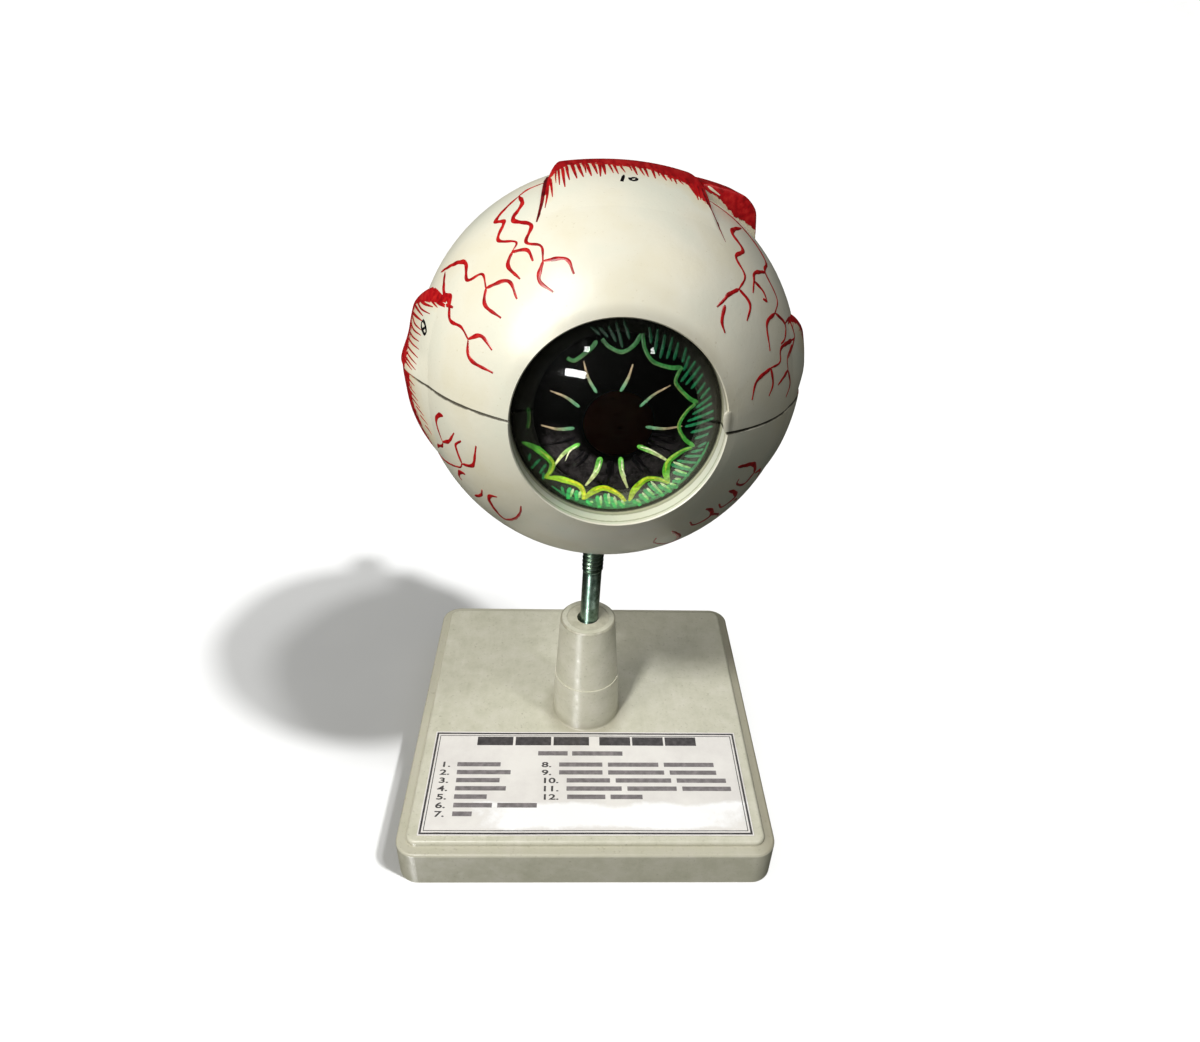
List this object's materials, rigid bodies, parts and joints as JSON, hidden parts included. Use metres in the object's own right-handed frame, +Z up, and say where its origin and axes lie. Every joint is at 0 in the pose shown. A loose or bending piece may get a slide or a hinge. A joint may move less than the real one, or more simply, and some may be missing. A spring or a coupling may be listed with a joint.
{
  "type": "eye anatomy model",
  "caption": "Five times life-size human eye on a post and square stand; the globe opens at a seam, the cornea, iris and lens come out and the eye turns on its rod.",
  "frame": {"origin": "middle of the stand's flat underside", "axes": "+Z up, -Y to the front where the printed card lies and the eye looks, +X to the viewer's right"},
  "size_m": [0.1384, 0.15, 0.2347],
  "materials": {
    "base_plastic": "moulded, light cream-beige",
    "cover_plastic": "moulded plate, cream-beige",
    "bush_nylon": "turned nylon",
    "card_paper": "printed card, laminated",
    "screw_steel": "zinc plated",
    "rod_steel": "zinc plated",
    "insert_brass": "turned",
    "sclera_shell": "cream enamel on moulded shell",
    "choroid_skin": "dark red-brown paint",
    "retina_skin": "orange-pink paint",
    "ring_plastic": "brown plastic",
    "spot_paint": "yellow paint",
    "lens_acrylic": "clear acrylic",
    "cornea_acrylic": "clear acrylic dome",
    "iris_print": "black with green and yellow painting",
    "muscle_paint": "crimson brushwork on cream",
    "nerve_sheath": "cream enamel",
    "nerve_fibre": "yellow paint",
    "peg_steel": "plain steel pin"
  },
  "bodies": {
    "base": {"base_shell": "base_plastic", "base_cover": "cover_plastic", "cover_screws": "screw_steel", "key_card": "card_paper", "post_sleeve": "base_plastic", "post_bush": "bush_nylon"},
    "lower_eye": {"sclera_lower": "sclera_shell", "choroid_lower": "choroid_skin", "retina_lower": "retina_skin", "ciliary_ring_lower": "ring_plastic", "yellow_spot": "spot_paint", "optic_nerve": "nerve_sheath", "nerve_core": "nerve_fibre", "thread_insert": "insert_brass", "support_rod": "rod_steel", "rod_washers": "screw_steel", "rod_nuts": "screw_steel", "medial_rectus_lower": "muscle_paint", "lateral_rectus_lower": "muscle_paint", "locating_pegs": "peg_steel"},
    "upper_eye": {"sclera_upper": "sclera_shell", "choroid_upper": "choroid_skin", "retina_upper": "retina_skin", "ciliary_ring_upper": "ring_plastic", "superior_rectus": "muscle_paint", "superior_oblique": "muscle_paint", "medial_rectus_upper": "muscle_paint", "lateral_rectus_upper": "muscle_paint"},
    "lens": {"lens": "lens_acrylic"},
    "cornea": {"cornea": "cornea_acrylic"},
    "iris": {"iris": "iris_print"}
  },
  "joints": [
    {"name": "eye_swivel", "type": "hinge", "parent": "base", "child": "lower_eye", "pos_m": [0.0005, 0.0015, 0.0675], "axis": [0.0309, -0.0143, 0.9994], "continuous": true},
    {"name": "upper_half_lift", "type": "slide", "parent": "lower_eye", "child": "upper_eye", "axis": [0.056, 0.0961, 0.9938], "range_m": [0, 0.15]},
    {"name": "lens_lift", "type": "slide", "parent": "lower_eye", "child": "lens", "axis": [0.056, 0.0961, 0.9938], "range_m": [0, 0.075]},
    {"name": "cornea_pull", "type": "slide", "parent": "lower_eye", "child": "cornea", "axis": [0.0424, -0.9947, 0.0938], "range_m": [0, 0.06]},
    {"name": "iris_pull", "type": "slide", "parent": "lower_eye", "child": "iris", "axis": [0.0424, -0.9947, 0.0938], "range_m": [0, 0.03]}
  ],
  "couplings": [
    {"joint": "lens_lift", "follows": "upper_half_lift", "ratio": 0.5},
    {"joint": "iris_pull", "follows": "cornea_pull", "ratio": 0.5}
  ]
}
